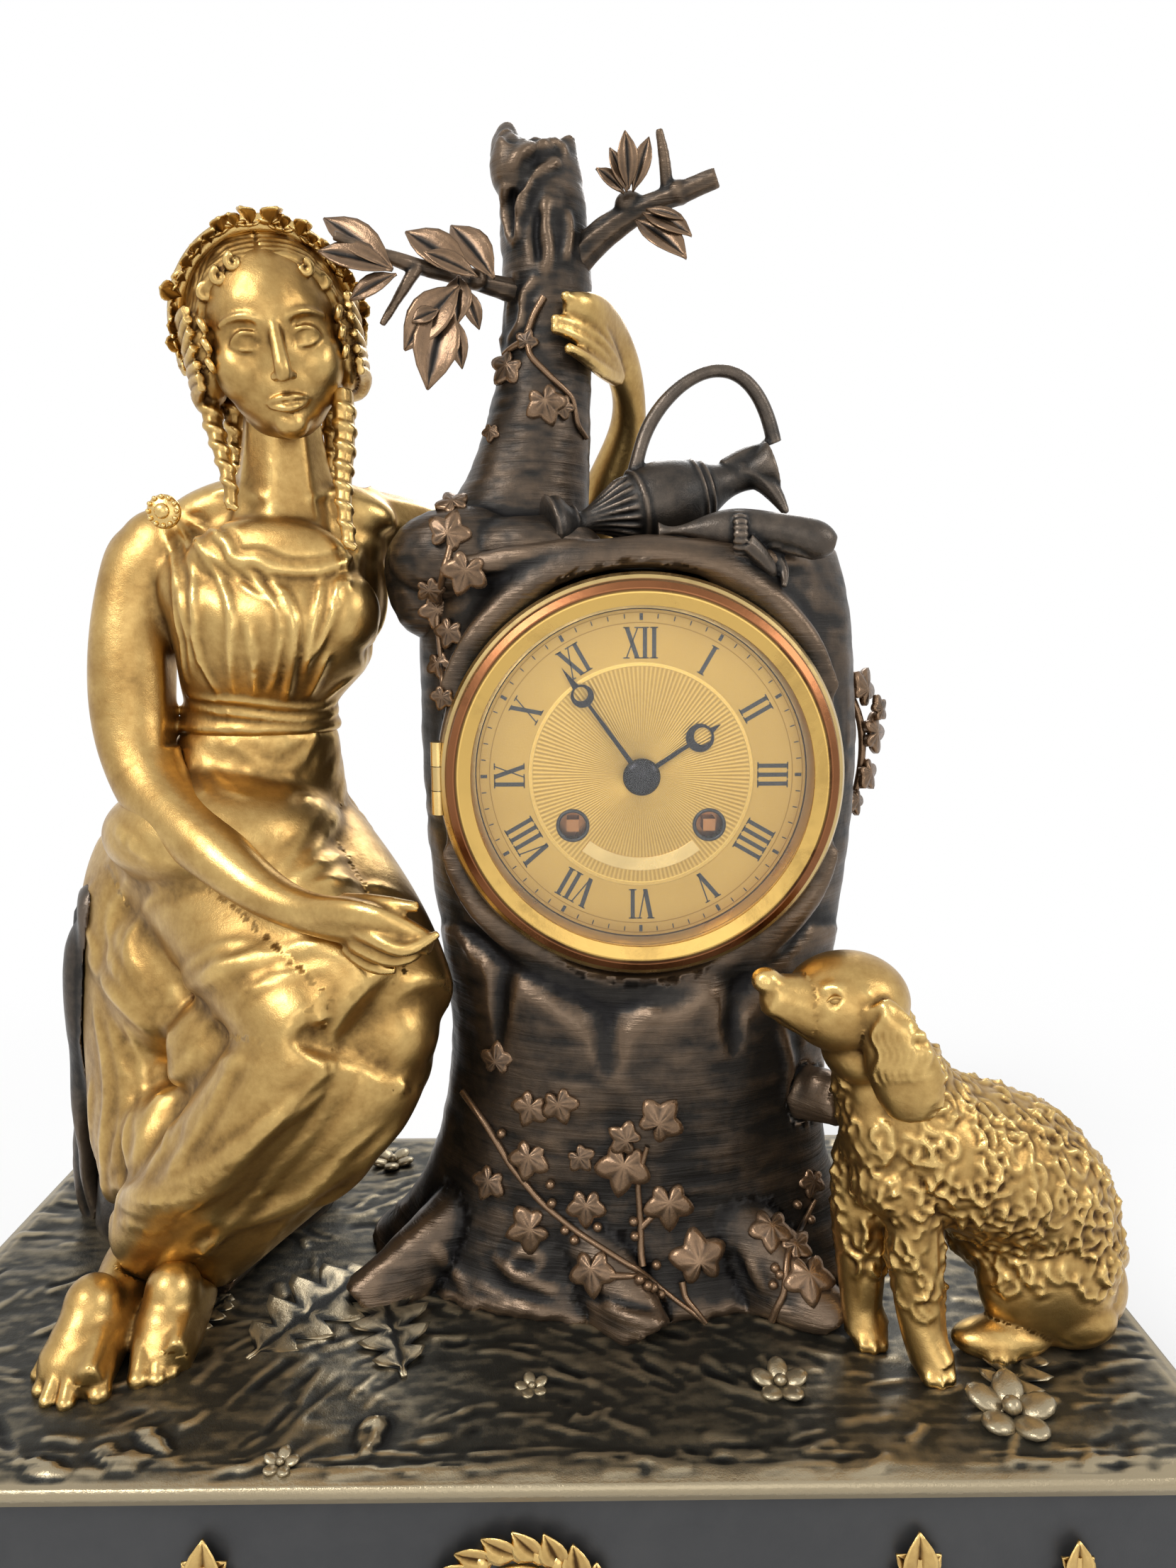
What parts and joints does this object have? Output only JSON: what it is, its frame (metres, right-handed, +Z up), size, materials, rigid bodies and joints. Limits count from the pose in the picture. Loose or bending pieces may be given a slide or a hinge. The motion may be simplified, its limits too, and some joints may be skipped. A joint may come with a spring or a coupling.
{
  "type": "figural clock",
  "caption": "Bronze mantel clock: a seated maiden and a dog beside a tree stump that holds the dial, with ewer, torch and branches, on an oblong plinth.",
  "frame": {"origin": "middle of the plinth, on the surface that the feet stand on", "axes": "+Z up, +Y to the rear, +X to the right as seen from the dial side"},
  "size_m": [0.3821, 0.194, 0.4673],
  "materials": {
    "gilt_bronze": "rubbed gilt bronze with brown patina in the hollows",
    "dark_bronze": "dark brown patinated bronze, rubbed on the edges",
    "plate_bronze": "worn gilt bronze relief",
    "plinth_metal": "dark grey satin",
    "board": "dark stained board",
    "steel": "plain steel",
    "gilt_brass": "gilt brass, satin",
    "clear_glass": "clear",
    "dark_steel": "blued steel, nearly black",
    "movement_brass": "polished",
    "bell_metal": "pale bell metal"
  },
  "bodies": {
    "case": {"plinth_feet": "plinth_metal", "plinth_base_board": "board", "plinth_front_panel": "plinth_metal", "plinth_rear_panel": "plinth_metal", "plinth_end_panels": "plinth_metal", "plinth_mounts": "gilt_bronze", "ground_plate": "plate_bronze", "fixing_screws": "steel", "tree_stump": "dark_bronze", "tree_trunk": "dark_bronze", "branches_and_ivy": "gilt_bronze", "ewer": "gilt_bronze", "torch": "gilt_bronze", "figure_skirt": "gilt_bronze", "figure_bodice": "gilt_bronze", "figure_head": "gilt_bronze", "figure_hair": "gilt_bronze", "hair_wreath": "gilt_bronze", "right_arm": "gilt_bronze", "left_arm": "gilt_bronze", "figure_feet": "gilt_bronze", "seat_rock": "dark_bronze", "seat_drapery": "dark_bronze", "fallen_log": "dark_bronze", "dog_body": "gilt_bronze", "dog_head": "gilt_bronze", "dial_drum": "gilt_brass", "dial_plate": "gilt_brass", "rear_ring": "gilt_brass", "hinge_pins": "steel", "front_plate": "movement_brass", "back_plate": "movement_brass", "suspension_cock": "movement_brass", "strike_bell": "bell_metal", "bell_stand": "movement_brass"},
    "bezel_door": {"bezel": "gilt_brass", "bezel_glass": "clear_glass", "glass_ring": "gilt_brass"},
    "rear_door": {"rear_door": "gilt_brass"},
    "minute_work": {"cannon_pinion": "movement_brass", "minute_hand": "dark_steel", "hand_cap": "dark_steel"},
    "hour_work": {"hour_wheel": "movement_brass", "hour_hand": "dark_steel"},
    "minute_wheel": {"minute_wheel": "movement_brass"},
    "centre_wheel": {"centre_wheel": "movement_brass"},
    "going_barrel": {"going_barrel": "movement_brass"},
    "third_wheel": {"third_wheel": "movement_brass"},
    "escape_wheel": {"escape_wheel": "movement_brass"},
    "anchor": {"escapement_anchor": "steel"},
    "pendulum": {"pendulum": "movement_brass"},
    "going_winding": {"going_winding_arbor": "steel"},
    "strike_winding": {"strike_winding_arbor": "steel"},
    "going_click": {"going_click": "steel"},
    "strike_click": {"strike_click": "steel"},
    "pin_wheel": {"pin_wheel": "movement_brass"},
    "strike_barrel": {"strike_barrel": "movement_brass", "count_wheel": "movement_brass"},
    "strike_fly": {"strike_fly": "movement_brass"},
    "hammer": {"strike_hammer": "steel"}
  },
  "joints": [
    {"name": "bezel_open", "type": "hinge", "parent": "case", "child": "bezel_door", "pos_m": [-0.02515, -0.0222, 0.274], "axis": [0, 0, -1], "range_deg": [0, 55]},
    {"name": "rear_open", "type": "hinge", "parent": "case", "child": "rear_door", "pos_m": [-0.0194, 0.05505, 0.274], "axis": [0, 0, 1], "range_deg": [0, 110]},
    {"name": "minute_spin", "type": "hinge", "parent": "case", "child": "minute_work", "pos_m": [0.0348, -0.01895, 0.274], "axis": [0, -1, 0], "continuous": true},
    {"name": "hour_spin", "type": "hinge", "parent": "case", "child": "hour_work", "pos_m": [0.0348, -0.01895, 0.274], "axis": [0, -1, 0], "continuous": true},
    {"name": "minute_wheel_spin", "type": "hinge", "parent": "case", "child": "minute_wheel", "pos_m": [0.0348, -0.01895, 0.2644], "axis": [0, -1, 0], "continuous": true},
    {"name": "third_spin", "type": "hinge", "parent": "case", "child": "third_wheel", "pos_m": [0.02711, 0.00105, 0.28733], "axis": [0, -1, 0], "continuous": true},
    {"name": "centre_spin", "type": "hinge", "parent": "case", "child": "centre_wheel", "pos_m": [0.0348, 0.00105, 0.274], "axis": [0, -1, 0], "continuous": true},
    {"name": "going_barrel_spin", "type": "hinge", "parent": "case", "child": "going_barrel", "pos_m": [0.0143, 0.00105, 0.25894], "axis": [0, -1, 0], "continuous": true},
    {"name": "escape_spin", "type": "hinge", "parent": "case", "child": "escape_wheel", "pos_m": [0.0348, 0.00105, 0.29842], "axis": [0, -1, 0], "continuous": true},
    {"name": "pendulum_swing", "type": "hinge", "parent": "case", "child": "pendulum", "pos_m": [0.0348, 0.03205, 0.30922], "axis": [0, -1, 0], "range_deg": [-3, 3]},
    {"name": "anchor_swing", "type": "hinge", "parent": "case", "child": "anchor", "pos_m": [0.0348, 0.00105, 0.30922], "axis": [0, -1, 0], "range_deg": [-3, 3]},
    {"name": "going_winding", "type": "hinge", "parent": "case", "child": "going_winding", "pos_m": [0.0143, -0.00895, 0.25894], "axis": [0, -1, 0], "continuous": true},
    {"name": "strike_winding", "type": "hinge", "parent": "case", "child": "strike_winding", "pos_m": [0.0553, -0.00895, 0.25894], "axis": [0, -1, 0], "continuous": true},
    {"name": "going_click_lift", "type": "hinge", "parent": "case", "child": "going_click", "pos_m": [0.0063, -0.00995, 0.26614], "axis": [0, -1, 0], "range_deg": [0, 10], "stiffness_Nm_per_rad": 0.002},
    {"name": "strike_click_lift", "type": "hinge", "parent": "case", "child": "strike_click", "pos_m": [0.0633, -0.00995, 0.26614], "axis": [0, 1, 0], "range_deg": [0, 10], "stiffness_Nm_per_rad": 0.002},
    {"name": "pin_wheel_spin", "type": "hinge", "parent": "case", "child": "pin_wheel", "pos_m": [0.04702, 0.00105, 0.28299], "axis": [0, -1, 0], "continuous": true},
    {"name": "strike_barrel_spin", "type": "hinge", "parent": "case", "child": "strike_barrel", "pos_m": [0.0553, 0.00105, 0.25894], "axis": [0, -1, 0], "continuous": true},
    {"name": "fly_spin", "type": "hinge", "parent": "case", "child": "strike_fly", "pos_m": [0.05445, 0.00105, 0.29042], "axis": [0, -1, 0], "continuous": true},
    {"name": "hammer_lift", "type": "hinge", "parent": "case", "child": "hammer", "pos_m": [0.04802, 0.02605, 0.29811], "axis": [0, -1, 0], "range_deg": [0, 12], "stiffness_Nm_per_rad": 0.02}
  ],
  "couplings": [
    {"joint": "hour_spin", "follows": "minute_spin", "ratio": 0.083333},
    {"joint": "minute_wheel_spin", "follows": "minute_spin", "ratio": -0.33333},
    {"joint": "centre_spin", "follows": "third_spin", "ratio": -0.125},
    {"joint": "going_barrel_spin", "follows": "third_spin", "ratio": 0.017857},
    {"joint": "escape_spin", "follows": "third_spin", "ratio": -8},
    {"joint": "anchor_swing", "follows": "pendulum_swing", "ratio": 1},
    {"joint": "strike_barrel_spin", "follows": "pin_wheel_spin", "ratio": -0.14286},
    {"joint": "fly_spin", "follows": "pin_wheel_spin", "ratio": -6}
  ]
}
